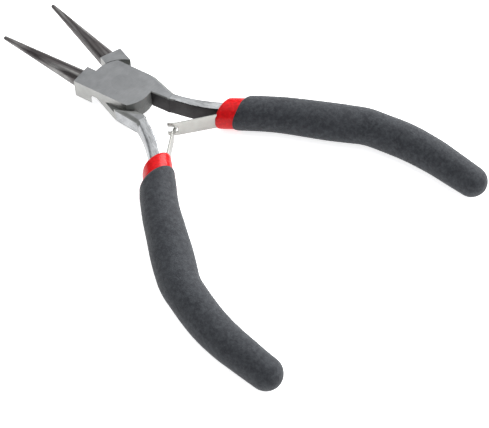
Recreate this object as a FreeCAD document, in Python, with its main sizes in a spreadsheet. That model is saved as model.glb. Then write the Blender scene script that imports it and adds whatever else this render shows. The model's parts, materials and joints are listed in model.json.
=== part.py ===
import FreeCAD, Part
import math
import os
import Sketcher

# Round nose pliers with a lap joint, two crossed leaf springs and double-dipped handles.
#
# Both forgings have the same plan. The lower one is turned over about the nose axis and has a
# run-out ramp behind its recess. Every piece of a half is drawn once, in the plan of the closed
# upper half: origin on the pivot axis at the lower face of the head, +Y to the nose, +X to this
# half's handle, +Z up.
# Each piece then gets the placement of its half, opened by half the rest opening.

DIMENSIONS = [
    ("rest_opening", 24.0, "angle between the halves at rest, in degrees"),
    ("head_thickness", 5.04, "head and tang height"),
    ("head_half_width", 5.75, "pivot axis to the side flat"),
    ("block_front", 10.35, "pivot axis to the front face of the block"),
    ("closing_gap", 0.04, "block wall to the middle plane"),
    ("disc_radius", 7.73, "round edge of the lap plate"),
    ("recess_radius", 7.90, "recess in which the other half's plate turns"),
    ("lap_gap", 0.02, "lap face to the middle plane"),
    ("shoulder_x", 5.93, "outer shoulder corner"),
    ("shoulder_y", 6.42, "outer shoulder corner behind the axis"),
    ("neck_outer_x", 3.82, "outer end of the shoulder taper"),
    ("neck_inner_x", 1.22, "inner wall of the neck"),
    ("neck_y", 12.80, "neck section behind the axis"),
    ("crotch_x", 1.10, "inner corner where the disc meets the neck"),
    ("ramp_foot", 6.30, "run-out ramp foot from the axis"),
    ("ramp_top", 9.50, "run-out ramp top from the axis"),
    ("ramp_overlap", 0.60, "run-out ramp pocket inside its foot"),
    ("ramp_angle", 44.7, "run-out ramp direction behind +X, in degrees"),
    ("jaw_base_radius", 2.33, "cone jaw at the block"),
    ("jaw_tip_radius", 0.55, "cone jaw at its rounded tip"),
    ("jaw_length", 25.80, "cone jaw past the block"),
    ("jaw_gap", 0.08, "cone generator to the middle plane"),
    ("rivet_radius", 1.80, "pivot rivet shank"),
    ("rivet_head_radius", 2.70, "pivot rivet head at the face"),
    ("rivet_head_depth", 0.90, "depth of the countersink"),
    ("pivot_clearance", 0.05, "running clearance of the lower half on the rivet"),
    ("tang_half_width", 1.32, "tang at the neck"),
    ("core_half_width", 1.46, "tang inside the grips"),
    ("tang_end_half_width", 1.20, "end of the tang"),
    ("tang_inner_edge", 0.35, "edge radius of the inner face"),
    ("tang_outer_edge", 1.05, "edge radius of the outer face"),
    ("sleeve_half_width", 3.60, "red sleeve at its collar"),
    ("sleeve_half_height", 4.10, "red sleeve at its collar"),
    ("sleeve_shift", 0.28, "collar shifted inward round the leaf"),
    ("sleeve_lip", 0.80, "rounding of the collar's mouth"),
    ("lining_half_width", 3.25, "red sleeve inside the grip"),
    ("lining_half_height", 3.60, "red sleeve inside the grip"),
    ("lining_end_half_width", 2.45, "red sleeve at its end"),
    ("lining_end_half_height", 2.75, "red sleeve at its end"),
    ("mouth_slant", 26.6, "slant of the collar's mouth, in degrees"),
    ("grip_slant", 27.5, "slant of the grip's front edge, in degrees"),
    ("grip_front", 4.26, "half-width of the grip's front edge"),
    ("grip_neck", 4.42, "half-width behind the front edge"),
    ("grip_palm", 4.95, "half-width at the palm swell"),
    ("grip_waist", 4.52, "half-width behind the swell"),
    ("grip_end", 3.80, "radius of the end dome"),
    ("grip_dome", 3.90, "length of the end dome"),
    ("grip_front_height", 4.20, "half-height of the front edge"),
    ("grip_height", 4.40, "half-height of the grip"),
    ("leaf_seat_gap", 0.02, "tang to the foot of the leaf"),
    ("leaf_thickness", 0.45, "leaf spring strip"),
    ("leaf_width", 4.50, "leaf spring strip"),
    ("leaf_tip_width", 4.20, "leaf spring at its free end"),
    ("fork_slot", 2.00, "slot of the forked leaf"),
    ("tongue_width", 1.40, "tongue of the tongued leaf"),
    ("leaf_rivet_radius", 0.90, "leaf rivet shank"),
    ("leaf_rivet_head", 1.50, "leaf rivet head"),
    ("leaf_rivet_head_height", 0.50, "leaf rivet head"),
]

# Handle centreline: straight runs joined by tangent arcs, as (x, y, arc radius).
HANDLE_ROUTE = [
    (2.36, -11.0, 0.0),
    (3.63, -20.07, 41.0),
    (12.32, -35.95, 60.0),
    (20.35, -56.8, 15.0),
    (21.28, -70.04, 50.0),
    (17.1, -88.85, 0.0),
]

# Leaf springs: where the blades cross at rest and where they leave the sleeve.
LEAF_CROSSING = FreeCAD.Vector(-3.91, -18.39, 0)
LEAF_MOUTH = FreeCAD.Vector(2.80, -24.83, 0)
LEAF_BEND_INSIDE = 1.0
LEAF_BEND_RADIUS = 8.0
LEAF_FOOT_START = 19.0
LEAF_FOOT_END = 23.1
LEAF_RIVET_AT = 21.3
FORK_REACH = 11.5
FORK_SLOT_START = 8.0
TONGUE_REACH = 10.7
TONGUE_START = 7.6
TONGUE_SHOULDER = 0.8

# Dips: distances along the handle centreline.
SLEEVE_MOUTH = 14.4
SLEEVE_THINS = (19.8, 29.3)
SLEEVE_END = 76.4
SLEEVE_STATIONS = 16
GRIP_FRONT = 18.7
GRIP_NECK = 24.0
GRIP_PALM = 42.0
GRIP_NARROWS = (43.0, 55.0)
GRIP_TAPERS = (57.0, 84.3)
GRIP_DOME = 78.3
GRIP_STATIONS = 15
SLANT_FADES = 10.0

# Tang: distances along the handle centreline.
TANG_START = 1.0
TANG_SWELLS = (5.0, 14.0)
TANG_TAPERS = 40.0
TANG_END = 74.0
TANG_END_THINNING = 0.3
TANG_STATIONS = 14

OUT = "parts"
UP = FreeCAD.Vector(0, 0, 1)
SAME = 1e-6
NEAR = 0.3

document = FreeCAD.newDocument("round_nose_pliers")
sheet = document.addObject("Spreadsheet::Sheet", "Dimensions")
for row, (alias, value, meaning) in enumerate(DIMENSIONS, start=1):
    sheet.set(f"A{row}", alias)
    sheet.set(f"B{row}", str(value))
    sheet.set(f"C{row}", meaning)
    sheet.setAlias(f"B{row}", alias)
document.recompute()


def dim(alias):
    """The value of one driving dimension."""
    return float(getattr(sheet, alias))


def vector(x, y, z=0.0):
    return FreeCAD.Vector(x, y, z)


# ---------------------------------------------------------------- sketches and placements

def origin_plane(body, role):
    """One of the body's own origin planes."""
    for feature in body.Origin.OriginFeatures:
        if feature.Role == role:
            return feature
    raise ValueError(role)


def new_body(name):
    return document.addObject("PartDesign::Body", name)


def new_sketch(body, name, offset=None, role="XY_Plane"):
    """An empty sketch on an origin plane of its body."""
    sketch = body.newObject("Sketcher::SketchObject", name)
    sketch.AttachmentSupport = [(origin_plane(body, role), "")]
    sketch.MapMode = "FlatFace"
    if offset is not None:
        sketch.AttachmentOffset = offset
    return sketch


def frame_at(position, x_axis, y_axis):
    """Placement whose sketch axes are x_axis and y_axis."""
    z_axis = x_axis.cross(y_axis)
    return FreeCAD.Placement(position, FreeCAD.Rotation(x_axis, y_axis, z_axis, "ZXY"))


def fix(sketch, kind, first, point, expression):
    """Distance of a sketch point from the sketch origin, bound to an expression."""
    vertex = sketch.getPoint(first, point)
    value = vertex.x if kind == "DistanceX" else vertex.y
    if abs(value) < SAME:
        axis = -2 if kind == "DistanceX" else -1
        sketch.addConstraint(Sketcher.Constraint("PointOnObject", first, point, axis))
        return
    if value > 0:
        index = sketch.addConstraint(Sketcher.Constraint(kind, -1, 1, first, point, value))
    else:
        index = sketch.addConstraint(Sketcher.Constraint(kind, first, point, -1, 1, -value))
    if expression:
        sketch.setExpression(f"Constraints[{index}]", expression)


def join_chain(sketch, count):
    """Make the ends of consecutive edges coincide, last to first as well."""
    for index in range(count):
        following = (index + 1) % count
        sketch.addConstraint(Sketcher.Constraint("Coincident", index, 2, following, 1))


def polygon(sketch, corners):
    """Closed polygon; a corner is ((x, y), x expression, y expression)."""
    points = [vector(*corner[0]) for corner in corners]
    for index, point in enumerate(points):
        sketch.addGeometry(Part.LineSegment(point, points[(index + 1) % len(points)]), False)
    join_chain(sketch, len(points))
    for index, (_, x_expression, y_expression) in enumerate(corners):
        fix(sketch, "DistanceX", index, 1, x_expression)
        fix(sketch, "DistanceY", index, 1, y_expression)


def circle(sketch, radius_expression, radius, centre=(0.0, 0.0)):
    """Circle of bound radius."""
    edge = sketch.addGeometry(Part.Circle(vector(*centre), UP, radius), False)
    if centre == (0.0, 0.0):
        sketch.addConstraint(Sketcher.Constraint("Coincident", edge, 3, -1, 1))
    index = sketch.addConstraint(Sketcher.Constraint("Radius", edge, radius))
    sketch.setExpression(f"Constraints[{index}]", radius_expression)


def rounded_section(sketch, half_width, half_height, inner_radius, outer_radius):
    """Rectangle across the handle with its own edge radii on the inner and outer side.

    Each size is (value, expression). The sketch's x axis points to the outer side.
    """
    wide, high = half_width[0], half_height[0]
    inner, outer = inner_radius[0], outer_radius[0]
    quarter = math.pi / 2

    def line(x_start, y_start, x_end, y_end):
        sketch.addGeometry(Part.LineSegment(vector(x_start, y_start), vector(x_end, y_end)), False)

    def corner(x, y, radius, start):
        rim = Part.Circle(vector(x, y), UP, radius)
        sketch.addGeometry(Part.ArcOfCircle(rim, start, start + quarter), False)

    line(inner - wide, -high, wide - outer, -high)
    corner(wide - outer, outer - high, outer, -quarter)
    line(wide, outer - high, wide, high - outer)
    corner(wide - outer, high - outer, outer, 0.0)
    line(wide - outer, high, inner - wide, high)
    corner(inner - wide, high - inner, inner, quarter)
    line(-wide, high - inner, -wide, inner - high)
    corner(inner - wide, inner - high, inner, 2 * quarter)
    edges = 8
    for index in range(edges):
        following = (index + 1) % edges
        sketch.addConstraint(Sketcher.Constraint("Tangent", index, 2, following, 1))
    sketch.addConstraint(Sketcher.Constraint("Horizontal", 0))
    sketch.addConstraint(Sketcher.Constraint("Vertical", 2))
    sketch.addConstraint(Sketcher.Constraint("Horizontal", 4))
    sketch.addConstraint(Sketcher.Constraint("Vertical", 6))
    sketch.addConstraint(Sketcher.Constraint("Equal", 1, 3))
    sketch.addConstraint(Sketcher.Constraint("Equal", 5, 7))
    for edge, (radius, expression) in ((1, outer_radius), (5, inner_radius)):
        index = sketch.addConstraint(Sketcher.Constraint("Radius", edge, radius))
        sketch.setExpression(f"Constraints[{index}]", expression)
    fix(sketch, "DistanceX", 2, 1, half_width[1])
    fix(sketch, "DistanceX", 6, 1, half_width[1])
    fix(sketch, "DistanceY", 4, 1, half_height[1])
    fix(sketch, "DistanceY", 0, 1, half_height[1])


def scaled(alias, factor=1.0):
    """A driving dimension times a factor, as (value, expression)."""
    return dim(alias) * factor, f"Dimensions.{alias} * {factor:.4f}"


# ---------------------------------------------------------------- routes of runs and arcs

def rounded_route(points):
    """Wire of straight runs joined by tangent arcs through (x, y, radius) points."""
    corners = [vector(x, y) for x, y, _ in points]
    edges = []
    here = corners[0]
    for index in range(1, len(points) - 1):
        corner = corners[index]
        radius = points[index][2]
        back = (corners[index - 1] - corner).normalize()
        ahead = (corners[index + 1] - corner).normalize()
        half_turn = (math.pi - back.getAngle(ahead)) / 2
        reach = radius * math.tan(half_turn)
        start = corner + back * reach
        finish = corner + ahead * reach
        bisector = (back + ahead).normalize()
        middle = corner + bisector * (radius / math.cos(half_turn) - radius)
        edges.append(Part.LineSegment(here, start).toShape())
        edges.append(Part.Arc(start, middle, finish).toShape())
        here = finish
    edges.append(Part.LineSegment(here, corners[-1]).toShape())
    return edges


def point_on(edges, distance):
    """Point and direction at a distance along the route."""
    for edge in edges:
        if distance <= edge.Length or edge is edges[-1]:
            parameter = edge.getParameterByLength(min(distance, edge.Length))
            return edge.valueAt(parameter), edge.tangentAt(parameter)
        distance -= edge.Length


handle_route = rounded_route(HANDLE_ROUTE)
HANDLE_LENGTH = sum(edge.Length for edge in handle_route)
MIDDLE = dim("head_thickness") / 2


def station(distance, shift=0.0, tilt=0.0):
    """Section plane across the handle: x outward, y up; shift moves it outward."""
    position, along = point_on(handle_route, distance)
    outward = UP.cross(along)
    position = position + outward * shift + UP * MIDDLE
    turn = FreeCAD.Rotation(UP, -tilt)
    return frame_at(position, turn.multVec(outward), UP)


def loft(body, name, kind, sections):
    """Smooth loft through sections of (placement, half width, half height, inner r, outer r)."""
    sketches = []
    for index, (placement, *sizes) in enumerate(sections):
        sketch = new_sketch(body, f"{name}_section_{index}", placement)
        rounded_section(sketch, *sizes)
        sketches.append(sketch)
    document.recompute()
    feature = body.newObject(f"PartDesign::{kind}", name)
    feature.Profile = (sketches[0], [""])
    feature.Sections = [(sketch, [""]) for sketch in sketches[1:]]
    feature.Ruled = False
    document.recompute()
    return feature


def ease(distance, start, finish):
    """Smooth step from 0 at start to 1 at finish."""
    share = min(1.0, max(0.0, (distance - start) / (finish - start)))
    return share * share * (3 - 2 * share)


def stepped(first, *steps):
    """A size that moves through several driving dimensions, as one expression.

    Each step is (next dimension, share), the share running from 0 to 1.
    """
    text = f"Dimensions.{first}"
    previous = first
    for alias, share in steps:
        text += f" + (Dimensions.{alias} - Dimensions.{previous}) * {share:.4f}"
        previous = alias
    return text


def even_distances(first, last, count):
    """Distances along the handle in equal steps, both ends included."""
    return [first + (last - first) * index / (count - 1) for index in range(count)]


# ---------------------------------------------------------------- forgings

def head_outline(sketch):
    """Block, lap disc, shoulder and neck as one closed outline."""
    side = dim("head_half_width")
    front = dim("block_front")
    wall = -dim("closing_gap")
    radius = dim("disc_radius")
    crotch = dim("crotch_x")

    def on_disc(x, sign):
        return vector(x, sign * math.sqrt(radius ** 2 - x ** 2))

    block_outer = vector(-side, front)
    block_inner = vector(wall, front)
    notch = on_disc(wall, 1)
    right_top = on_disc(side, 1)
    right_low = on_disc(side, -1)
    shoulder = vector(dim("shoulder_x"), -dim("shoulder_y"))
    neck_outer = vector(dim("neck_outer_x"), -dim("neck_y"))
    neck_inner = vector(dim("neck_inner_x"), -dim("neck_y"))
    inner_corner = on_disc(crotch, -1)
    left_low = on_disc(-side, -1)

    def line(start, finish):
        return sketch.addGeometry(Part.LineSegment(start, finish), False)

    def disc_arc(start, finish):
        middle = (start + finish).normalize() * radius
        return sketch.addGeometry(Part.Arc(start, middle, finish), False)

    def arc_ends(arc, start):
        """Sketcher point numbers of the arc's start and end as drawn here."""
        first = sketch.getPoint(arc, 1)
        return (1, 2) if (first - start).Length < SAME else (2, 1)

    chain = [
        (line(block_outer, block_inner), 1, 2),
        (line(block_inner, notch), 1, 2),
        (disc_arc(notch, right_top), notch),
        (line(right_top, right_low), 1, 2),
        (line(right_low, shoulder), 1, 2),
        (line(shoulder, neck_outer), 1, 2),
        (line(neck_outer, neck_inner), 1, 2),
        (line(neck_inner, inner_corner), 1, 2),
        (disc_arc(inner_corner, left_low), inner_corner),
        (line(left_low, block_outer), 1, 2),
    ]
    ends = []
    for link in chain:
        if len(link) == 2:
            ends.append((link[0], *arc_ends(link[0], link[1])))
        else:
            ends.append(link)
    for index, (edge, _, last) in enumerate(ends):
        following, first, _ = ends[(index + 1) % len(ends)]
        sketch.addConstraint(Sketcher.Constraint("Coincident", edge, last, following, first))
    for arc in (ends[2][0], ends[8][0]):
        sketch.addConstraint(Sketcher.Constraint("Coincident", arc, 3, -1, 1))
        index = sketch.addConstraint(Sketcher.Constraint("Radius", arc, radius))
        sketch.setExpression(f"Constraints[{index}]", "Dimensions.disc_radius")
    fix(sketch, "DistanceX", 0, 1, "Dimensions.head_half_width")
    fix(sketch, "DistanceY", 0, 1, "Dimensions.block_front")
    fix(sketch, "DistanceX", 1, 1, "Dimensions.closing_gap")
    fix(sketch, "DistanceY", 1, 1, "Dimensions.block_front")
    sketch.addConstraint(Sketcher.Constraint("Vertical", 1))
    fix(sketch, "DistanceX", 3, 1, "Dimensions.head_half_width")
    sketch.addConstraint(Sketcher.Constraint("Vertical", 3))
    fix(sketch, "DistanceX", 5, 1, "Dimensions.shoulder_x")
    fix(sketch, "DistanceY", 5, 1, "Dimensions.shoulder_y")
    fix(sketch, "DistanceX", 6, 1, "Dimensions.neck_outer_x")
    fix(sketch, "DistanceY", 6, 1, "Dimensions.neck_y")
    fix(sketch, "DistanceX", 7, 1, "Dimensions.neck_inner_x")
    fix(sketch, "DistanceY", 7, 1, "Dimensions.neck_y")
    fix(sketch, "DistanceX", 7, 2, "Dimensions.crotch_x")
    sketch.addConstraint(Sketcher.Constraint("Vertical", 9))


def add_jaw(body):
    """Cone jaw: its inner generator stays parallel to the middle plane."""
    base, tip = dim("jaw_base_radius"), dim("jaw_tip_radius")
    length = dim("jaw_length")
    straight = length - tip
    half_angle = math.atan((base - tip) / straight)
    root = 1.0
    position = vector(-base - dim("jaw_gap"), dim("block_front"), MIDDLE)
    along = vector(math.sin(half_angle), math.cos(half_angle))
    across = vector(math.cos(half_angle), -math.sin(half_angle))
    sketch = new_sketch(body, "jaw_profile", frame_at(position, across, along))
    root_radius = base + root * math.tan(half_angle)
    sketch.addGeometry(Part.LineSegment(vector(0, -root), vector(root_radius, -root)), False)
    sketch.addGeometry(Part.LineSegment(vector(root_radius, -root), vector(tip, straight)), False)
    rim = Part.Circle(vector(0, straight), UP, tip)
    sketch.addGeometry(Part.ArcOfCircle(rim, 0.0, math.pi / 2), False)
    sketch.addGeometry(Part.LineSegment(vector(0, straight + tip), vector(0, -root)), False)
    join_chain(sketch, 4)
    sketch.addConstraint(Sketcher.Constraint("PointOnObject", 0, 1, -2))
    sketch.addConstraint(Sketcher.Constraint("PointOnObject", 3, 1, -2))
    sketch.addConstraint(Sketcher.Constraint("PointOnObject", 2, 3, -2))
    sketch.addConstraint(Sketcher.Constraint("Horizontal", 0))
    fix(sketch, "DistanceY", 0, 1, None)
    fix(sketch, "DistanceX", 1, 1, None)
    fix(sketch, "DistanceX", 1, 2, "Dimensions.jaw_tip_radius")
    fix(sketch, "DistanceY", 1, 2, "Dimensions.jaw_length - Dimensions.jaw_tip_radius")
    fix(sketch, "DistanceY", 2, 3, "Dimensions.jaw_length - Dimensions.jaw_tip_radius")
    cone = body.newObject("PartDesign::Revolution", "jaw")
    cone.Profile = (sketch, [""])
    cone.ReferenceAxis = (sketch, ["V_Axis"])
    cone.Angle = 360


def cut_recess(body):
    """Lower half of the lap: the round recess."""
    sketch = new_sketch(body, "recess_circle")
    circle(sketch, "Dimensions.recess_radius", dim("recess_radius"))
    recess = body.newObject("PartDesign::Pocket", "recess")
    recess.Profile = (sketch, [""])
    recess.Reversed = True
    recess.setExpression("Length", "Dimensions.head_thickness / 2 + Dimensions.lap_gap")


def cut_ramp(body):
    """Ramp that runs out of the recess towards the tang."""
    angle = math.radians(dim("ramp_angle"))
    outward = vector(math.cos(angle), -math.sin(angle))
    ramp_sketch = new_sketch(body, "ramp_profile", frame_at(vector(0, 0), outward, UP))
    foot, top = dim("ramp_foot"), dim("ramp_top")
    inside = foot - dim("ramp_overlap")
    inside_text = "Dimensions.ramp_foot - Dimensions.ramp_overlap"
    height = MIDDLE + dim("lap_gap")
    height_text = "Dimensions.head_thickness / 2 + Dimensions.lap_gap"
    below = -0.5
    slope_below = top - (top - foot) * below / height
    polygon(ramp_sketch, [
        ((inside, below), inside_text, None),
        ((slope_below, below), None, None),
        ((foot, height), "Dimensions.ramp_foot", height_text),
        ((inside, height), inside_text, height_text),
    ])
    ramp = body.newObject("PartDesign::Pocket", "ramp")
    ramp.Profile = (ramp_sketch, [""])
    ramp.Midplane = True
    ramp.setExpression("Length", "2 * Dimensions.recess_radius")


def cut_rivet_bore(body, clearance_expression, clearance):
    """Bore and countersink of the pivot rivet on this half's own face."""
    sketch = new_sketch(body, "bore_profile", None, "XZ_Plane")
    shank = dim("rivet_radius") + clearance
    head = dim("rivet_head_radius") + clearance
    top = dim("head_thickness")
    deep = top - dim("rivet_head_depth")
    beyond = 1.0
    shank_text = f"Dimensions.rivet_radius + {clearance_expression}"
    head_text = f"Dimensions.rivet_head_radius + {clearance_expression}"
    polygon(sketch, [
        ((0, -beyond), None, None),
        ((shank, -beyond), shank_text, None),
        ((shank, deep), shank_text, "Dimensions.head_thickness - Dimensions.rivet_head_depth"),
        ((head, top), head_text, "Dimensions.head_thickness"),
        ((head, top + beyond), head_text, None),
        ((0, top + beyond), None, None),
    ])
    bore = body.newObject("PartDesign::Groove", "rivet_bore")
    bore.Profile = (sketch, [""])
    bore.ReferenceAxis = (sketch, ["V_Axis"])
    bore.Angle = 360


def leaf_rivet_frame():
    """Placement of the leaf rivet's axis: z outward through the tang."""
    position, along = point_on(handle_route, LEAF_RIVET_AT)
    outward = UP.cross(along)
    return FreeCAD.Placement(position + UP * MIDDLE, FreeCAD.Rotation(UP, outward))


def cut_leaf_rivet_hole(body):
    sketch = new_sketch(body, "leaf_rivet_circle", leaf_rivet_frame())
    circle(sketch, "Dimensions.leaf_rivet_radius", dim("leaf_rivet_radius"))
    hole = body.newObject("PartDesign::Pocket", "leaf_rivet_hole")
    hole.Profile = (sketch, [""])
    hole.Midplane = True
    hole.setExpression("Length", "2 * Dimensions.sleeve_half_height")


def round_neck(body):
    """Round the long edges of the neck's outer wall and of its inner wall, like the tang."""
    outer = (vector(dim("shoulder_x"), -dim("shoulder_y"))
             + vector(dim("neck_outer_x"), -dim("neck_y"))) * 0.5
    inner_top = -math.sqrt(dim("disc_radius") ** 2 - dim("crotch_x") ** 2)
    inner = (vector(dim("crotch_x"), inner_top)
             + vector(dim("neck_inner_x"), -dim("neck_y"))) * 0.5
    for label, place in (("tang_outer_edge", outer), ("tang_inner_edge", inner)):
        base = body.Tip
        names = []
        for index, edge in enumerate(base.Shape.Edges, start=1):
            centre = edge.CenterOfMass
            across = math.hypot(centre.x - place.x, centre.y - place.y)
            if across < NEAR and abs(abs(centre.z - MIDDLE) - MIDDLE) < SAME:
                names.append(f"Edge{index}")
        if len(names) != 2:
            raise RuntimeError(f"{label}: found {len(names)} neck edges")
        rounding = body.newObject("PartDesign::Fillet", f"neck_{label}")
        rounding.Base = (base, names)
        rounding.setExpression("Radius", f"Dimensions.{label}")
        document.recompute()


def make_half(name, clearance_expression, clearance, ramped):
    """One forging: jaw, block, lap plate and tang."""
    body = new_body(name)
    sketch = new_sketch(body, "head_plan")
    head_outline(sketch)
    pad = body.newObject("PartDesign::Pad", "head")
    pad.Profile = (sketch, [""])
    pad.setExpression("Length", "Dimensions.head_thickness")
    document.recompute()
    round_neck(body)
    add_jaw(body)
    document.recompute()

    edge_radii = (scaled("tang_inner_edge"), scaled("tang_outer_edge"))
    height = scaled("head_thickness", 0.5)
    sections = []
    for distance in even_distances(TANG_START, TANG_END, TANG_STATIONS):
        swell = ease(distance, *TANG_SWELLS)
        taper = ease(distance, TANG_TAPERS, TANG_END)
        width = (dim("tang_half_width")
                 + (dim("core_half_width") - dim("tang_half_width")) * swell
                 + (dim("tang_end_half_width") - dim("core_half_width")) * taper)
        text = stepped("tang_half_width", ("core_half_width", swell),
                       ("tang_end_half_width", taper))
        lower = 1 - TANG_END_THINNING * taper
        section_height = (height[0] * lower, f"{height[1]} * {lower:.4f}")
        sections.append((station(distance), (width, text), section_height, *edge_radii))
    loft(body, "tang", "AdditiveLoft", sections)
    cut_recess(body)
    document.recompute()
    if ramped:
        cut_ramp(body)
        document.recompute()
    cut_rivet_bore(body, clearance_expression, clearance)
    document.recompute()
    cut_leaf_rivet_hole(body)
    document.recompute()
    return body


def make_pivot_rivet():
    """Pivot rivet, both countersunk heads ground flush with the head faces."""
    body = new_body("pivot_rivet")
    sketch = new_sketch(body, "rivet_profile", None, "XZ_Plane")
    shank, head = dim("rivet_radius"), dim("rivet_head_radius")
    top, depth = dim("head_thickness"), dim("rivet_head_depth")
    polygon(sketch, [
        ((0, 0), None, None),
        ((head, 0), "Dimensions.rivet_head_radius", None),
        ((shank, depth), "Dimensions.rivet_radius", "Dimensions.rivet_head_depth"),
        ((shank, top - depth), "Dimensions.rivet_radius",
         "Dimensions.head_thickness - Dimensions.rivet_head_depth"),
        ((head, top), "Dimensions.rivet_head_radius", "Dimensions.head_thickness"),
        ((0, top), None, "Dimensions.head_thickness"),
    ])
    turned = body.newObject("PartDesign::Revolution", "rivet")
    turned.Profile = (sketch, [""])
    turned.ReferenceAxis = (sketch, ["V_Axis"])
    turned.Angle = 360
    return body


# ---------------------------------------------------------------- leaf springs

def make_leaf(name, reach, forked):
    """Spring strip: straight blade with a fork or a tongue, and a riveted foot on the tang."""
    body = new_body(name)
    thickness = dim("leaf_thickness")
    half = dim("leaf_width") / 2
    tip_half = dim("leaf_tip_width") / 2
    toward_tip = (LEAF_CROSSING - LEAF_MOUTH).normalize()
    blade_frame = frame_at(LEAF_MOUTH + UP * MIDDLE, toward_tip, UP)
    bend = LEAF_MOUTH - toward_tip * LEAF_BEND_INSIDE

    sketch = new_sketch(body, "blade_outline", blade_frame)
    start = -LEAF_BEND_INSIDE / 2
    half_text = "Dimensions.leaf_width / 2"
    tip_text = "Dimensions.leaf_tip_width / 2"
    if forked:
        slot = dim("fork_slot") / 2
        slot_text = "Dimensions.fork_slot / 2"
        polygon(sketch, [
            ((start, -half), None, half_text),
            ((reach, -tip_half), None, tip_text),
            ((reach, -slot), None, slot_text),
            ((FORK_SLOT_START, -slot), None, slot_text),
            ((FORK_SLOT_START, slot), None, slot_text),
            ((reach, slot), None, slot_text),
            ((reach, tip_half), None, tip_text),
            ((start, half), None, half_text),
        ])
    else:
        tongue = dim("tongue_width") / 2
        tongue_text = "Dimensions.tongue_width / 2"
        polygon(sketch, [
            ((start, -half), None, half_text),
            ((TONGUE_START - TONGUE_SHOULDER, -tip_half), None, tip_text),
            ((TONGUE_START, -tongue), None, tongue_text),
            ((reach, -tongue), None, tongue_text),
            ((reach, tongue), None, tongue_text),
            ((TONGUE_START, tongue), None, tongue_text),
            ((TONGUE_START - TONGUE_SHOULDER, tip_half), None, tip_text),
            ((start, half), None, half_text),
        ])
    blade = body.newObject("PartDesign::Pad", "blade")
    blade.Profile = (sketch, [""])
    blade.Midplane = True
    blade.setExpression("Length", "Dimensions.leaf_thickness")
    document.recompute()

    seat = -(dim("core_half_width") + dim("leaf_seat_gap") + thickness / 2)
    foot_start = station(LEAF_FOOT_START, seat).Base
    foot_end = station(LEAF_FOOT_END, seat).Base
    blade_start = LEAF_MOUTH + toward_tip * start
    route = rounded_route([
        (blade_start.x, blade_start.y, 0.0),
        (bend.x, bend.y, LEAF_BEND_RADIUS / 2),
        (foot_start.x, foot_start.y, LEAF_BEND_RADIUS),
        (foot_end.x, foot_end.y, 0.0),
    ])
    spine = new_sketch(body, "root_path", FreeCAD.Placement(UP * MIDDLE, FreeCAD.Rotation()))
    for edge in route:
        start_point, end_point = edge.valueAt(edge.FirstParameter), edge.valueAt(edge.LastParameter)
        if isinstance(edge.Curve, Part.Circle):
            middle = edge.valueAt((edge.FirstParameter + edge.LastParameter) / 2)
            spine.addGeometry(Part.Arc(start_point, middle, end_point), False)
        else:
            spine.addGeometry(Part.LineSegment(start_point, end_point), False)
    across = UP.cross(toward_tip)
    strip = new_sketch(body, "strip_section", frame_at(blade_start + UP * MIDDLE, across, UP))
    flat = thickness / 2
    flat_text = "Dimensions.leaf_thickness / 2"
    polygon(strip, [
        ((-flat, -half), flat_text, half_text),
        ((flat, -half), flat_text, half_text),
        ((flat, half), flat_text, half_text),
        ((-flat, half), flat_text, half_text),
    ])
    document.recompute()
    root = body.newObject("PartDesign::AdditivePipe", "root")
    root.Profile = (strip, [""])
    root.Spine = (spine, [f"Edge{index + 1}" for index in range(len(route))])
    document.recompute()
    cut_leaf_rivet_hole(body)
    document.recompute()
    return body


def make_leaf_rivet(name):
    """Rivet that holds a leaf's foot on the tang: shank and a head on each side."""
    body = new_body(name)
    placement = leaf_rivet_frame()
    outward = placement.Rotation.multVec(UP)
    sketch = new_sketch(body, "rivet_profile", frame_at(placement.Base, UP, outward))
    shank, head = dim("leaf_rivet_radius"), dim("leaf_rivet_head")
    cap = dim("leaf_rivet_head_height")
    tang = dim("core_half_width") + dim("leaf_seat_gap")
    leaf = tang + dim("leaf_thickness")
    shank_text = "Dimensions.leaf_rivet_radius"
    head_text = "Dimensions.leaf_rivet_head"
    tang_text = "Dimensions.core_half_width + Dimensions.leaf_seat_gap"
    leaf_text = f"{tang_text} + Dimensions.leaf_thickness"
    cap_text = "Dimensions.leaf_rivet_head_height"
    polygon(sketch, [
        ((0, -leaf - cap), None, f"{leaf_text} + {cap_text}"),
        ((head, -leaf - cap), head_text, f"{leaf_text} + {cap_text}"),
        ((head, -leaf), head_text, leaf_text),
        ((shank, -leaf), shank_text, leaf_text),
        ((shank, tang), shank_text, tang_text),
        ((head, tang), head_text, tang_text),
        ((head, tang + cap), head_text, f"{tang_text} + {cap_text}"),
        ((0, tang + cap), None, f"{tang_text} + {cap_text}"),
    ])
    turned = body.newObject("PartDesign::Revolution", "rivet")
    turned.Profile = (sketch, [""])
    turned.ReferenceAxis = (sketch, ["V_Axis"])
    turned.Angle = 360
    return body


# ---------------------------------------------------------------- dipped handles

def elliptic_loft(name, sections):
    """Smooth loft through ellipses of (placement, half across, half up), as expressions.

    The larger radius lies along the placement's x axis.
    """
    outlines = []
    for index, (placement, major, minor) in enumerate(sections):
        outline = document.addObject("Part::Ellipse", f"{name}_outline_{index}")
        outline.Placement = placement
        outline.setExpression("MinorRadius", minor)
        outline.setExpression("MajorRadius", major)
        outlines.append(outline)
    document.recompute()
    body = document.addObject("Part::Loft", name)
    body.Sections = outlines
    body.Solid = True
    body.Ruled = False
    return body


def slant_at(distance, front, slant):
    """Slant of a section: the edge's own at the front, none once it has faded."""
    return dim(slant) * (1 - ease(distance, front, front + SLANT_FADES))


def widened(width, slant):
    """Width measured along a slanted section, as an expression."""
    return f"({width}) * {1 / math.cos(math.radians(slant)):.4f}"


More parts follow.
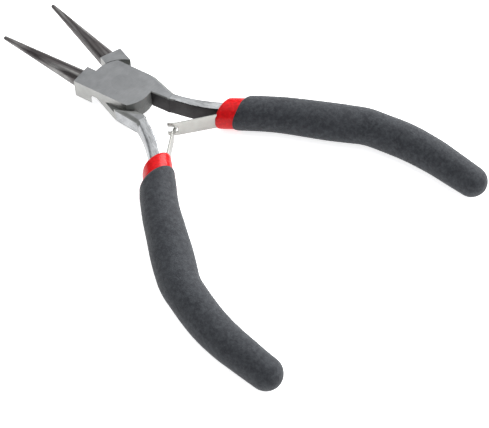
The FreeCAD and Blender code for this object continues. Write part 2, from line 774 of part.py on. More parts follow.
def make_sleeve_form(side):
    """Outside of the red inner dip: a collar that swells round the leaf, then a lining."""
    upright = FreeCAD.Placement(vector(0, 0), FreeCAD.Rotation(UP, 90))
    sections = []
    for distance in even_distances(SLEEVE_MOUTH, SLEEVE_END, SLEEVE_STATIONS):
        thin = ease(distance, *SLEEVE_THINS)
        taper = ease(distance, SLEEVE_THINS[1], SLEEVE_END)
        slant = slant_at(distance, SLEEVE_MOUTH, "mouth_slant")
        wide = stepped("sleeve_half_width", ("lining_half_width", thin),
                       ("lining_end_half_width", taper))
        high = stepped("sleeve_half_height", ("lining_half_height", thin),
                       ("lining_end_half_height", taper))
        placement = station(distance, -dim("sleeve_shift") * (1 - thin), slant)
        sections.append((placement.multiply(upright), high, widened(wide, slant)))
    form = elliptic_loft(f"{side}_sleeve_sides", sections)
    document.recompute()
    mouth = min(range(len(form.Shape.Edges)),
                key=lambda index: -form.Shape.Edges[index].CenterOfMass.y)
    lip = document.addObject("Part::Fillet", f"{side}_sleeve_form")
    lip.Base = form
    radius = dim("sleeve_lip")
    lip.Edges = [(mouth + 1, radius, radius)]
    return lip


def make_grip_form(side):
    """Outside of the charcoal dip: slanted front edge, palm swell, waist and end dome."""
    sections = []
    for distance in even_distances(GRIP_FRONT, GRIP_DOME, GRIP_STATIONS):
        opened = ease(distance, GRIP_FRONT, GRIP_NECK)
        swell = ease(distance, GRIP_NECK, GRIP_PALM)
        waist = ease(distance, *GRIP_NARROWS)
        taper = ease(distance, *GRIP_TAPERS) / ease(GRIP_DOME, *GRIP_TAPERS)
        slant = slant_at(distance, GRIP_FRONT, "grip_slant")
        wide = stepped("grip_front", ("grip_neck", opened), ("grip_palm", swell),
                       ("grip_waist", waist), ("grip_end", taper))
        high = stepped("grip_front_height", ("grip_height", opened), ("grip_end", taper))
        sections.append((station(distance, 0.0, slant), widened(wide, slant), high))
    sides = elliptic_loft(f"{side}_grip_sides", sections)
    base, along = point_on(handle_route, GRIP_DOME)
    dome = document.addObject("Part::Ellipsoid", f"{side}_grip_dome")
    dome.Placement = FreeCAD.Placement(base + UP * MIDDLE, FreeCAD.Rotation(UP, along))
    dome.setExpression("Radius1", "Dimensions.grip_dome")
    dome.setExpression("Radius2", "Dimensions.grip_end")
    dome.setExpression("Radius3", "Dimensions.grip_end")
    dome.Angle1 = 0
    dome.Angle2 = 90
    form = document.addObject("Part::Fuse", f"{side}_grip_form")
    form.Base = sides
    form.Tool = dome
    return form


def cut_shape(name, base, tools):
    """One piece less the pieces that it wraps."""
    tool = tools[0]
    if len(tools) > 1:
        tool = document.addObject("Part::MultiFuse", f"{name}_core")
        tool.Shapes = tools
    piece = document.addObject("Part::Cut", name)
    piece.Base = base
    piece.Tool = tool
    return piece


# ---------------------------------------------------------------- assembly

def half_placement(flipped):
    """Rest placement of a half: turned over about the nose axis or not, and opened."""
    opening = dim("rest_opening") / 2
    if not flipped:
        return FreeCAD.Placement(vector(0, 0, 0), FreeCAD.Rotation(UP, opening))
    turned = FreeCAD.Placement(UP * dim("head_thickness"), FreeCAD.Rotation(vector(0, 1, 0), 180))
    opened = FreeCAD.Placement(vector(0, 0, 0), FreeCAD.Rotation(UP, -opening))
    return opened.multiply(turned)


def build_side(side, flipped, clearance_expression, clearance, leaf_name, reach, forked):
    """Every piece of one half, placed."""
    placement = half_placement(flipped)
    half = make_half(f"{side}_half", clearance_expression, clearance, flipped)
    leaf = make_leaf(leaf_name, reach, forked)
    rivet = make_leaf_rivet(f"{side}_leaf_rivet")
    sleeve_form = make_sleeve_form(side)
    grip_form = make_grip_form(side)
    for piece in (half, leaf, rivet, sleeve_form, grip_form):
        piece.Placement = placement
    sleeve = cut_shape(f"{side}_sleeve", sleeve_form, [half, leaf, rivet])
    grip = cut_shape(f"{side}_grip", grip_form, [sleeve_form])
    return {
        f"{side}_half": half,
        leaf_name: leaf,
        f"{side}_leaf_rivet": rivet,
        f"{side}_sleeve": sleeve,
        f"{side}_grip": grip,
    }


pieces = {}
pieces.update(build_side("upper", False, "0", 0.0, "forked_leaf", FORK_REACH, True))
pieces.update(build_side("lower", True, "Dimensions.pivot_clearance", dim("pivot_clearance"),
                         "tongued_leaf", TONGUE_REACH, False))
pieces["pivot_rivet"] = make_pivot_rivet()
for name, piece in pieces.items():
    piece.Label = name
document.recompute()

for entry in document.Objects:
    if "Invalid" in entry.State or "Error" in entry.State:
        raise RuntimeError(f"{entry.Name} failed: {entry.State}")
for name, piece in pieces.items():
    if piece.Shape.isNull() or not piece.Shape.isValid():
        raise RuntimeError(f"{name} has no valid shape")

os.makedirs(OUT, exist_ok=True)
for name, piece in pieces.items():
    piece.Shape.exportStep(os.path.join(OUT, f"{name}.step"))
    box = piece.Shape.BoundBox
    print(f"{name}: {len(piece.Shape.Solids)} solid, {piece.Shape.Volume:.1f} mm3, "
          f"x {box.XMin:.1f}..{box.XMax:.1f} y {box.YMin:.1f}..{box.YMax:.1f} "
          f"z {box.ZMin:.1f}..{box.ZMax:.1f}")
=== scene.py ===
import json
import math

import bmesh
import bpy
from mathutils import Matrix, Vector, noise


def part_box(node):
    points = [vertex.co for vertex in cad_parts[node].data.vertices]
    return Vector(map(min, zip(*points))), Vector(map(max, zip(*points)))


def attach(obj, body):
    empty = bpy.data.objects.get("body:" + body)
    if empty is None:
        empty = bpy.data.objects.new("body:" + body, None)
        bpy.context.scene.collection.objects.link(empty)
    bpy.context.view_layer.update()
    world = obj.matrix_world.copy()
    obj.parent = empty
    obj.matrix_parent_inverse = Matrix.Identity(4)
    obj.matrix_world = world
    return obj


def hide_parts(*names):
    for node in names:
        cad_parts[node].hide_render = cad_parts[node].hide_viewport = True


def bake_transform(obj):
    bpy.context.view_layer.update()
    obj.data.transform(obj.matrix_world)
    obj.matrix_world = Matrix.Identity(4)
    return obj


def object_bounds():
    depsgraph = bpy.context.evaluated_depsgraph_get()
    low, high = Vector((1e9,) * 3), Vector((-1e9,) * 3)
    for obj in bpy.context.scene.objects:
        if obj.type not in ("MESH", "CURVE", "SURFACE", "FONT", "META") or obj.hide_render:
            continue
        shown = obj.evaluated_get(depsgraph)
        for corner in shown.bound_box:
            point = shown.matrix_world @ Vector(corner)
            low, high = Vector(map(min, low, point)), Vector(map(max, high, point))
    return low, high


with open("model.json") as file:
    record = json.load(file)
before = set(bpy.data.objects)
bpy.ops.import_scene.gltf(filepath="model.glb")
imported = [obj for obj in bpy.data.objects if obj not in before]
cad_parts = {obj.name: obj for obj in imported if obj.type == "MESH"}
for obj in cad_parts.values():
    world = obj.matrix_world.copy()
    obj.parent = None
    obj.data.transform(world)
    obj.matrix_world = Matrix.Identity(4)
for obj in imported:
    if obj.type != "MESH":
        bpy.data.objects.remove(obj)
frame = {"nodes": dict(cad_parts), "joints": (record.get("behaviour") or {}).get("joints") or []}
CAD_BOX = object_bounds()

# Round nose pliers. Plans are in millimetres in the closed plan of the upper half: origin on the
# pivot axis at the lower face of the head, +Y to the nose, +X to this half's handle, +Z up.
MM = 0.001
HEAD_LOW, HEAD_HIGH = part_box("pivot_rivet")
HEAD_THICKNESS = (HEAD_HIGH.z - HEAD_LOW.z) / MM
MIDDLE = HEAD_THICKNESS / 2
HALF_OPENING = math.radians(frame["joints"][0]["range_deg"][1] / 2)
UP = Vector((0, 0, 1))

BLOCK_FRONT = 10.35
LAP_EDGE = 7.8                 # radius midway between the lap plate's edge and its recess
RAMP_END = -14.0
NECK_START = -7.0
NECK_END = -12.8
NECK_CUTS = (NECK_END, NECK_END - 5.0, NECK_END - 10.0)
TANG_CORE_HALF_WIDTH = 1.46
HANDLE_ROUTE = [
    (2.36, -11.0, 0.0),
    (3.63, -20.07, 41.0),
    (12.32, -35.95, 60.0),
    (20.35, -56.8, 15.0),
    (21.28, -70.04, 50.0),
    (17.1, -88.85, 0.0),
]
SLEEVE_MOUTH = 14.4
SLEEVE_THINS = (19.8, 29.3)
SLEEVE_HIDDEN_END = 32.0
SLEEVE_SHIFT = 0.28
MOUTH_SLANT = math.radians(26.6)
GRIP_FRONT = 18.7
GRIP_NECK = 24.0
GRIP_PALM = 42.0
GRIP_NARROWS = (43.0, 55.0)
GRIP_TAPERS = (57.0, 84.3)
GRIP_DOME = 78.3
GRIP_END_RADIUS = 3.80
GRIP_SLANT = math.radians(27.5)
SLANT_FADES = 10.0
LEAF_CROSSING = {"forked": Vector((-3.91, -18.39, 0)), "tongued": Vector((-3.3, -18.1, 0))}
LEAF_MOUTH = Vector((2.80, -24.83, 0))
LEAF_REACH = {"forked": 11.5, "tongued": 10.7}
LEAF_NARROWS = {"forked": 9.0, "tongued": 7.4}
LEAF_THICKNESS = 0.45
LEAF_WIDTH = 4.5
LEAF_TIP_WIDTH = 4.2
LEAF_FOOT_START = 19.0
LEAF_SEAT_GAP = 0.02
LEAF_BEND_INSIDE = 1.0
LEAF_TIP_ROUND = 0.35
FORK_SLOT_HALF = 1.0
TONGUE_HALF = 0.7


# ---------------------------------------------------------------- placement of the halves

def half_matrix(side):
    """Plan millimetres of a half to the row frame in metres, at rest."""
    if side == "upper":
        plan = Matrix.Rotation(HALF_OPENING, 4, "Z")
    else:
        turned = Matrix.Translation(UP * HEAD_THICKNESS) @ Matrix.Rotation(math.pi, 4, "Y")
        plan = Matrix.Rotation(-HALF_OPENING, 4, "Z") @ turned
    return Matrix.Scale(MM, 4) @ plan


# ---------------------------------------------------------------- handle centreline

def rounded_route(points):
    """Straight runs joined by tangent arcs, as pieces of (length, function of distance)."""
    corners = [Vector((x, y, 0)) for x, y, _ in points]
    pieces = []

    def straight(start, finish):
        length = (finish - start).length
        along = (finish - start).normalized()
        pieces.append((length, lambda s: (start + along * s, along)))

    def bend(start, along, radius, turn):
        side = UP.cross(along) * (1 if turn > 0 else -1)
        centre = start + side * radius
        spin = 1 if turn > 0 else -1

        def at(s):
            turned = Matrix.Rotation(spin * s / radius, 3, "Z")
            return centre - turned @ side * radius, turned @ along

        pieces.append((radius * abs(turn), at))

    here = corners[0]
    for index in range(1, len(points) - 1):
        corner, radius = corners[index], points[index][2]
        into = (corner - corners[index - 1]).normalized()
        out = (corners[index + 1] - corner).normalized()
        turn = math.atan2(into.cross(out).z, into.dot(out))
        reach = radius * math.tan(abs(turn) / 2)
        start = corner - into * reach
        straight(here, start)
        bend(start, into, radius, turn)
        here = corner + out * reach
    straight(here, corners[-1])
    return pieces


ROUTE = rounded_route(HANDLE_ROUTE)


def route_at(distance):
    """Point and direction on the handle's centreline."""
    for length, at in ROUTE[:-1]:
        if distance <= length:
            return at(max(distance, 0.0))
        distance -= length
    return ROUTE[-1][1](distance)


def ease(value, start, finish):
    """Smooth step from 0 at start to 1 at finish."""
    share = min(1.0, max(0.0, (value - start) / (finish - start)))
    return share * share * (3 - 2 * share)


def mix(a, b, share):
    return a + (b - a) * share


# ---------------------------------------------------------------- materials

MIX_FIRST_COLOUR = 6
MIX_SECOND_COLOUR = 7
MIX_COLOUR_RESULT = 2


class Nodes:
    """Short notation for building a node tree."""

    def __init__(self, material):
        self.tree = material.node_tree
        self.tree.nodes.clear()
        self.output = self.add("OutputMaterial")
        self.shader = self.add("BsdfPrincipled")
        self.link(self.shader.outputs[0], self.output.inputs["Surface"])

    def add(self, kind, **settings):
        node = self.tree.nodes.new("ShaderNode" + kind)
        for key, value in settings.items():
            setattr(node, key, value)
        return node

    def link(self, source, target):
        self.tree.links.new(source, target)

    def coordinates(self, scale=(1.0, 1.0, 1.0), turn=0.0):
        """Object coordinates in millimetres, turned about Z and then stretched by scale."""
        where = self.add("TexCoord")
        turned = self.add("Mapping")
        turned.inputs["Rotation"].default_value = (0.0, 0.0, turn)
        self.link(where.outputs["Object"], turned.inputs["Vector"])
        stretched = self.add("Mapping")
        stretched.inputs["Scale"].default_value = [s / MM for s in scale]
        self.link(turned.outputs["Vector"], stretched.inputs["Vector"])
        return stretched.outputs["Vector"]

    def noise(self, vector, scale, detail, roughness):
        node = self.add("TexNoise")
        node.inputs["Scale"].default_value = scale
        node.inputs["Detail"].default_value = detail
        node.inputs["Roughness"].default_value = roughness
        self.link(vector, node.inputs["Vector"])
        return node.outputs["Fac"]

    def voronoi(self, vector, scale):
        node = self.add("TexVoronoi")
        node.inputs["Scale"].default_value = scale
        self.link(vector, node.inputs["Vector"])
        return node.outputs["Distance"]

    def ramp(self, value, stops):
        node = self.add("ValToRGB")
        elements = node.color_ramp.elements
        while len(elements) < len(stops):
            elements.new(0.5)
        for element, (position, colour) in zip(elements, stops):
            element.position = position
            element.color = (*colour, 1.0)
        self.link(value, node.inputs["Fac"])
        return node.outputs["Color"]

    def spread(self, value, low, high, out_low, out_high):
        node = self.add("MapRange")
        for name, number in (("From Min", low), ("From Max", high),
                             ("To Min", out_low), ("To Max", out_high)):
            node.inputs[name].default_value = number
        self.link(value, node.inputs["Value"])
        return node.outputs["Result"]

    def blend(self, share, first, colour):
        """First, a socket, mixed towards a plain colour by share."""
        node = self.add("Mix", data_type="RGBA")
        self.link(share, node.inputs["Factor"])
        self.link(first, node.inputs[MIX_FIRST_COLOUR])
        node.inputs[MIX_SECOND_COLOUR].default_value = (*colour, 1.0)
        return node.outputs[MIX_COLOUR_RESULT]

    def total(self, first, second):
        node = self.add("Math", operation="ADD")
        self.link(first, node.inputs[0])
        self.link(second, node.inputs[1])
        return node.outputs[0]

    def bump(self, height, strength, distance_mm, below=None):
        node = self.add("Bump")
        node.inputs["Strength"].default_value = strength
        node.inputs["Distance"].default_value = distance_mm * MM
        self.link(height, node.inputs["Height"])
        if below is not None:
            self.link(below, node.inputs["Normal"])
        return node.outputs["Normal"]


def new_material(name):
    material = bpy.data.materials.new(name)
    material.use_nodes = True
    return material, Nodes(material)


def steel_material(name, light, dark, roughness, streak_axis, contrast=1.0, turn=0.0,
                   metallic=1.0):
    """Ground or forged steel with fine streaks along one plan axis."""
    material, nodes = new_material(name)
    stretch = [3.2, 3.2, 3.2]
    stretch[streak_axis] = 0.22
    streaks = nodes.noise(nodes.coordinates(stretch, turn), 3.2, 4.0, 0.6)
    clouds = nodes.noise(nodes.coordinates(), 0.35, 3.0, 0.55)
    specks = nodes.noise(nodes.coordinates(), 5.0, 2.0, 0.6)
    tone = nodes.total(nodes.spread(streaks, 0.3, 0.7, -0.16 * contrast, 0.16 * contrast),
                       nodes.spread(clouds, 0.25, 0.75, 0.28, 0.72))
    colour = nodes.ramp(tone, [(0.2, dark), (0.8, light)])
    nodes.link(colour, nodes.shader.inputs["Base Color"])
    nodes.shader.inputs["Metallic"].default_value = metallic
    rough = nodes.spread(streaks, 0.25, 0.75, roughness - 0.07, roughness + 0.09)
    nodes.link(rough, nodes.shader.inputs["Roughness"])
    fine = nodes.bump(streaks, 0.35, 0.02)
    nodes.link(nodes.bump(specks, 0.18, 0.02, fine), nodes.shader.inputs["Normal"])
    return material


def oxide_highlight_material(name, turn):
    """Black oxide jaws: dark satin with polishing lines and a brown cast; lengthwise light and dark
    bands are painted highlight and painted shade.
    """
    material, nodes = new_material(name)
    lines = nodes.noise(nodes.coordinates((3.0, 0.12, 3.0), turn), 2.6, 4.0, 0.6)
    # Lengthwise light and dark bands: a painted highlight streak and painted shade along the round
    # jaws.
    painted_highlight_bands = nodes.noise(nodes.coordinates((1.0, 0.03, 1.0), turn), 1.0, 1.0, 0.4)
    clouds = nodes.noise(nodes.coordinates(), 0.28, 3.0, 0.5)
    tone = nodes.total(nodes.spread(lines, 0.3, 0.7, -0.12, 0.12),
                       nodes.spread(painted_highlight_bands, 0.36, 0.64, 0.12, 0.88))
    # The dark end of this ramp is the oxide's own tone, and its light end is the painted highlight's
    # tone.
    colour = nodes.ramp(tone, [(0.1, (0.045, 0.039, 0.040)), (0.5, (0.125, 0.117, 0.116)),
                               (0.9, (0.25, 0.245, 0.24))])
    cast = nodes.blend(nodes.spread(clouds, 0.4, 0.65, 0.0, 0.5), colour, (0.088, 0.078, 0.076))
    nodes.link(cast, nodes.shader.inputs["Base Color"])
    nodes.shader.inputs["Metallic"].default_value = 0.75
    nodes.link(nodes.spread(lines, 0.25, 0.75, 0.28, 0.46), nodes.shader.inputs["Roughness"])
    nodes.link(nodes.bump(lines, 0.3, 0.02), nodes.shader.inputs["Normal"])
    return material


def red_material():
    """Glossy red dip with small dimples and a few specks."""
    material, nodes = new_material("red_dip")
    where = nodes.coordinates()
    dimples = nodes.noise(where, 1.6, 2.0, 0.5)
    fine = nodes.noise(where, 6.0, 2.0, 0.5)
    colour = nodes.ramp(dimples, [(0.3, (0.41, 0.001, 0.003)), (0.5, (0.53, 0.001, 0.003)),
                                  (0.72, (0.62, 0.004, 0.007))])
    nodes.link(colour, nodes.shader.inputs["Base Color"])
    nodes.link(nodes.spread(fine, 0.3, 0.7, 0.28, 0.42), nodes.shader.inputs["Roughness"])
    nodes.shader.inputs["Coat Weight"].default_value = 0.08
    nodes.shader.inputs["Coat Roughness"].default_value = 0.12
    nodes.shader.inputs["Specular IOR Level"].default_value = 0.14
    soft = nodes.bump(dimples, 0.45, 0.12)
    nodes.link(nodes.bump(fine, 0.2, 0.03, soft), nodes.shader.inputs["Normal"])
    return material


def grip_material():
    """Charcoal dip: fine granular skin with pale specks and darker pits."""
    material, nodes = new_material("charcoal_grip")
    where = nodes.coordinates()
    grains = nodes.voronoi(where, 3.4)
    fine = nodes.noise(where, 5.0, 3.0, 0.65)
    clouds = nodes.noise(where, 0.22, 3.0, 0.5)
    mottle = nodes.noise(where, 0.95, 4.0, 0.7)
    specks = nodes.voronoi(where, 1.9)
    base = nodes.ramp(fine, [(0.28, (0.010, 0.011, 0.014)), (0.5, (0.016, 0.018, 0.023)),
                             (0.72, (0.030, 0.033, 0.040))])
    cloudy = nodes.blend(nodes.spread(clouds, 0.35, 0.7, 0.0, 0.35), base, (0.034, 0.037, 0.043))
    mottled = nodes.blend(nodes.spread(mottle, 0.40, 0.66, 0.0, 0.75), cloudy,
                          (0.050, 0.055, 0.062))
    speckled = nodes.blend(nodes.spread(specks, 0.05, 0.16, 0.35, 0.0), mottled,
                           (0.14, 0.15, 0.16))
    nodes.link(speckled, nodes.shader.inputs["Base Color"])
    nodes.link(nodes.spread(fine, 0.3, 0.7, 0.62, 0.82), nodes.shader.inputs["Roughness"])
    nodes.shader.inputs["Specular IOR Level"].default_value = 0.25
    nodes.shader.inputs["Sheen Weight"].default_value = 0.08
    skin = nodes.bump(mottle, 0.6, 0.14)
    rough = nodes.bump(grains, 0.5, 0.10, skin)
    nodes.link(nodes.bump(fine, 0.4, 0.06, rough), nodes.shader.inputs["Normal"])
    return material


def floor_material():
    """Pale backlit table top."""
    material, nodes = new_material("pale_floor")
    grain = nodes.noise(nodes.coordinates(), 0.05, 2.0, 0.5)
    pale = nodes.ramp(grain, [(0.3, (0.93, 0.93, 0.935)), (0.7, (0.95, 0.95, 0.95))])
    nodes.link(pale, nodes.shader.inputs["Base Color"])
    nodes.link(pale, nodes.shader.inputs["Emission Color"])
    nodes.shader.inputs["Emission Strength"].default_value = 0.78
    nodes.shader.inputs["Roughness"].default_value = 0.9
    return material


GROUND = steel_material("ground_steel", (0.275, 0.28, 0.285), (0.19, 0.195, 0.20), 0.42, 0)
# Lighter copy of the steel for the head's outer side walls and block faces. The lighter colour is
# painted light, standing in for the light these walls catch.
SIDE_LIT_STEEL = steel_material("side_steel_painted_light", (0.39, 0.39, 0.38), (0.28, 0.28, 0.27), 0.40, 1, 1.2)
# Lap joint steel, rougher and less metallic. Its darker colour is painted shade for the recess
# between the two halves.
LAP_SHADED_STEEL = steel_material("lap_steel_painted_shade", (0.20, 0.205, 0.20), (0.14, 0.145, 0.14), 0.62, 0, 1.0, 0.0, 0.4)
DARK = steel_material("dark_scale", (0.060, 0.057, 0.058), (0.026, 0.025, 0.026), 0.5, 1, 1.5)
SPRING = steel_material("spring_steel", (0.43, 0.43, 0.41), (0.33, 0.33, 0.31), 0.36, 0)
RIVET = steel_material("rivet_steel", (0.25, 0.255, 0.26), (0.185, 0.19, 0.195), 0.44, 1)
FORGED = {}
OXIDE_WITH_HIGHLIGHT = {}
for way, half in ((-1, "upper"), (1, "lower")):
    FORGED[half] = steel_material(f"forged_steel_{half}", (0.51, 0.52, 0.53), (0.22, 0.225, 0.23),
                                  0.32, 1, 1.5, way * math.radians(24))
    # Jaw steel: black oxide with painted highlight bands.
    OXIDE_WITH_HIGHLIGHT[half] = oxide_highlight_material(f"black_oxide_painted_highlight_{half}", way * HALF_OPENING)
RED = red_material()
GRIP = grip_material()


# ---------------------------------------------------------------- mesh helpers

def mesh_object(name, mesh, materials):
    piece = bpy.data.objects.new(name, mesh)
    bpy.context.scene.collection.objects.link(piece)
    for material in materials:
        mesh.materials.append(material)
    return piece


def apply_modifiers(piece):
    """Keep the evaluated mesh as the piece's own."""
    graph = bpy.context.evaluated_depsgraph_get()
    final = bpy.data.meshes.new_from_object(piece.evaluated_get(graph))
    piece.modifiers.clear()
    piece.data = final


def grid_tube(rings):
    """Closed tube through rings of equally many points; the ends become flat caps."""
    mesh = bmesh.new()
    made = [[mesh.verts.new(point) for point in ring] for ring in rings]
    count = len(rings[0])
    for near, far in zip(made, made[1:]):
        for index in range(count):
            following = (index + 1) % count
            mesh.faces.new((near[index], near[following], far[following], far[index]))
    for ring in (made[0], made[-1]):
        centre = sum((vertex.co for vertex in ring), Vector()) / count
        hub = mesh.verts.new(centre)
        for index in range(count):
            mesh.faces.new((ring[index], ring[(index + 1) % count], hub))
    bmesh.ops.recalc_face_normals(mesh, faces=mesh.faces)
    return mesh


def finish_mesh(mesh, name, matrix, smooth=True):
    """A bmesh in plan millimetres as a mesh in the row frame."""
    data = bpy.data.meshes.new(name)
    mesh.transform(matrix)
    bmesh.ops.recalc_face_normals(mesh, faces=mesh.faces)
    for face in mesh.faces:
        face.smooth = smooth
    mesh.to_mesh(data)
    mesh.free()
    return data


def handle_ring(distance, half_wide, half_high, shift=0.0, slant=0.0, count=96, power=2.0):
    """Section of the handle: a superellipse across the centreline."""
    point, along = route_at(distance)
    outward = UP.cross(along)
    tilted = Matrix.Rotation(-slant, 3, "Z") @ outward
    centre = point + outward * shift + UP * MIDDLE
    ring = []
    for index in range(count):
        angle = 2 * math.pi * index / count
        c, s = math.cos(angle), math.sin(angle)
        across = half_wide * math.copysign(abs(c) ** (2 / power), c)
        upward = half_high * math.copysign(abs(s) ** (2 / power), s)
        ring.append(centre + tilted * across + UP * upward)
    return ring


# ---------------------------------------------------------------- forgings

def breaks_edge(edge):
    """Whether a sharp edge of the forging is long and open enough to be broken."""
    if len(edge.link_faces) != 2 or edge.calc_length() < 0.12:
        return False
    if edge.calc_face_angle(0.0) < math.radians(38):
        return False
    if min(face.calc_area() for face in edge.link_faces) < 0.25:
        return False
    middle = (edge.verts[0].co + edge.verts[1].co) / 2
    across_neck = abs(middle.y - NECK_END) < 0.5
    return Vector((middle.x, middle.y)).length > 3.2 and not across_neck


def make_forging(side):
    """One forging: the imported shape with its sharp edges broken, painted by surface."""
    node = f"{side}_half"
    matrix = half_matrix(side)
    to_plan = matrix.inverted()
    mesh = bmesh.new()
    mesh.from_mesh(frame["nodes"][node].data)
    mesh.transform(to_plan)
    bmesh.ops.remove_doubles(mesh, verts=mesh.verts, dist=0.002)
    bmesh.ops.dissolve_degenerate(mesh, edges=mesh.edges, dist=0.003)
    flat = math.radians(0.6)
    bmesh.ops.dissolve_limit(mesh, angle_limit=flat, verts=mesh.verts, edges=mesh.edges)
    for cut in NECK_CUTS:
        everything = mesh.verts[:] + mesh.edges[:] + mesh.faces[:]
        bmesh.ops.bisect_plane(mesh, geom=everything, plane_co=(0, cut, 0), plane_no=(0, 1, 0))
    mesh.normal_update()
    weights = mesh.edges.layers.float.new("bevel_weight_edge")
    for edge in mesh.edges:
        edge[weights] = 1.0 if breaks_edge(edge) else 0.0
    for face in mesh.faces:
        centre = face.calc_center_median()
        face.material_index = forging_surface(centre, face.normal)
    data = finish_mesh(mesh, node, matrix)
    piece = mesh_object(f"{side}_forging", data, [GROUND, SIDE_LIT_STEEL, FORGED[side], DARK, OXIDE_WITH_HIGHLIGHT[side], LAP_SHADED_STEEL])
    bevel = piece.modifiers.new("broken_edges", "BEVEL")
    bevel.width = 0.13 * MM
    bevel.segments = 2
    bevel.limit_method = "WEIGHT"
    bevel.use_clamp_overlap = True
    normals = piece.modifiers.new("true_flats", "WEIGHTED_NORMAL")
    normals.mode = "FACE_AREA"
    normals.weight = 100
    normals.keep_sharp = True
    piece.data.set_sharp_from_angle(angle=math.radians(80))
    apply_modifiers(piece)
    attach(piece, f"{side}_side")
    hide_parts(node)


def forging_surface(centre, normal):
    """Material index of a face of the forging, in plan coordinates."""
    ground, lit_side_wall, forged, dark, oxide, lap = range(6)
    flat_out = Vector((centre.x, centre.y, 0))
    if centre.y > BLOCK_FRONT + 0.05:
        return oxide
    # Mid-height flats, the lap plate's edge wall and the ramps get the lap steel, whose darker colour
    # is painted shade.
    if abs(normal.z) > 0.95 and centre.y > NECK_END:
        near_face = centre.z < 0.1 or centre.z > HEAD_THICKNESS - 0.1
        return ground if near_face else lap
    if abs(flat_out.length - LAP_EDGE) < 0.35 and abs(normal.z) < 0.1:
        return lap
    if 0.1 < abs(normal.z) < 0.95 and centre.y > RAMP_END and centre.x > 0:
        return lap
    if centre.y < NECK_START:
        point, along = route_at(max(0.0, HANDLE_ROUTE[0][1] - centre.y))
        outward = UP.cross(along)
        within = (flat_out - point).dot(outward) < -0.6
        return dark if within and abs(normal.z) < 0.8 else forged
    # The remaining head faces get the lighter side steel, which is painted light on the side walls.
    return lit_side_wall


# ---------------------------------------------------------------- dipped handles

def mouth_slant(distance):
    return MOUTH_SLANT * (1 - ease(distance, SLEEVE_MOUTH, SLEEVE_MOUTH + SLANT_FADES))


def grip_slant(distance):
    return GRIP_SLANT * (1 - ease(distance, GRIP_FRONT, GRIP_FRONT + SLANT_FADES))


def slanted_ring(distance, wide, high, shift, slant_at, count=96, power=2.15):
    """Ring whose half width is kept square to the centreline."""
    slant = slant_at(distance)
    return handle_ring(distance, wide / math.cos(slant), high, shift, slant, count, power)


def sleeve_size(distance):
    """Half width, half height and inward shift of the red sleeve, in millimetres."""
    thin = ease(distance, *SLEEVE_THINS)
    return mix(3.60, 3.25, thin), mix(4.02, 3.60, thin), -SLEEVE_SHIFT * (1 - thin)


def make_sleeve(side, seed):
    """Red collar: rolled lip round the tang and the leaf, soft wrinkles, plain lining."""
    rings = []
    lip_depth, lip_width = 1.0, 0.95
    lip_steps = 14
    wide, high, shift = sleeve_size(SLEEVE_MOUTH)
    for index in range(lip_steps):
        angle = math.pi / 2 * index / lip_steps
        inset = lip_width * (1 - math.sin(angle))
        distance = SLEEVE_MOUTH + lip_depth * (1 - math.cos(angle))
        rings.append(slanted_ring(distance, wide - inset, high - inset, shift, mouth_slant))
    distance = SLEEVE_MOUTH + lip_depth
    step = 0.3
    while distance < SLEEVE_HIDDEN_END:
        wide, high, shift = sleeve_size(distance)
        rings.append(slanted_ring(distance, wide, high, shift, mouth_slant))
        distance += step
    offset = Vector((seed * 7.3, seed * 3.1, 0))
    for ring in rings:
        centre = sum(ring, Vector()) / len(ring)
        for index, point in enumerate(ring):
            away = (point - centre).normalized()
            lumps = noise.noise((point + offset) * 0.42) * 0.08
            ripple = noise.noise((point + offset) * 1.1) * 0.03
            ring[index] = point + away * (lumps + ripple - 0.06)
    mesh = grid_tube(rings)
    data = finish_mesh(mesh, f"{side}_collar", half_matrix(side))
    piece = mesh_object(f"{side}_collar", data, [RED])
    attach(piece, f"{side}_side")
    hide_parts(f"{side}_sleeve")


def grip_size(distance):
    """Half width and half height of the charcoal grip, in millimetres."""
    opened = ease(distance, GRIP_FRONT, GRIP_NECK)
    swell = ease(distance, GRIP_NECK, GRIP_PALM)
    waist = ease(distance, *GRIP_NARROWS)
    taper = ease(distance, *GRIP_TAPERS) / ease(GRIP_DOME, *GRIP_TAPERS)
    wide = mix(mix(mix(mix(4.26, 4.42, opened), 4.95, swell), 4.52, waist), GRIP_END_RADIUS, taper)
    high = mix(mix(4.36, 4.40, opened), GRIP_END_RADIUS, taper)
    return wide, high


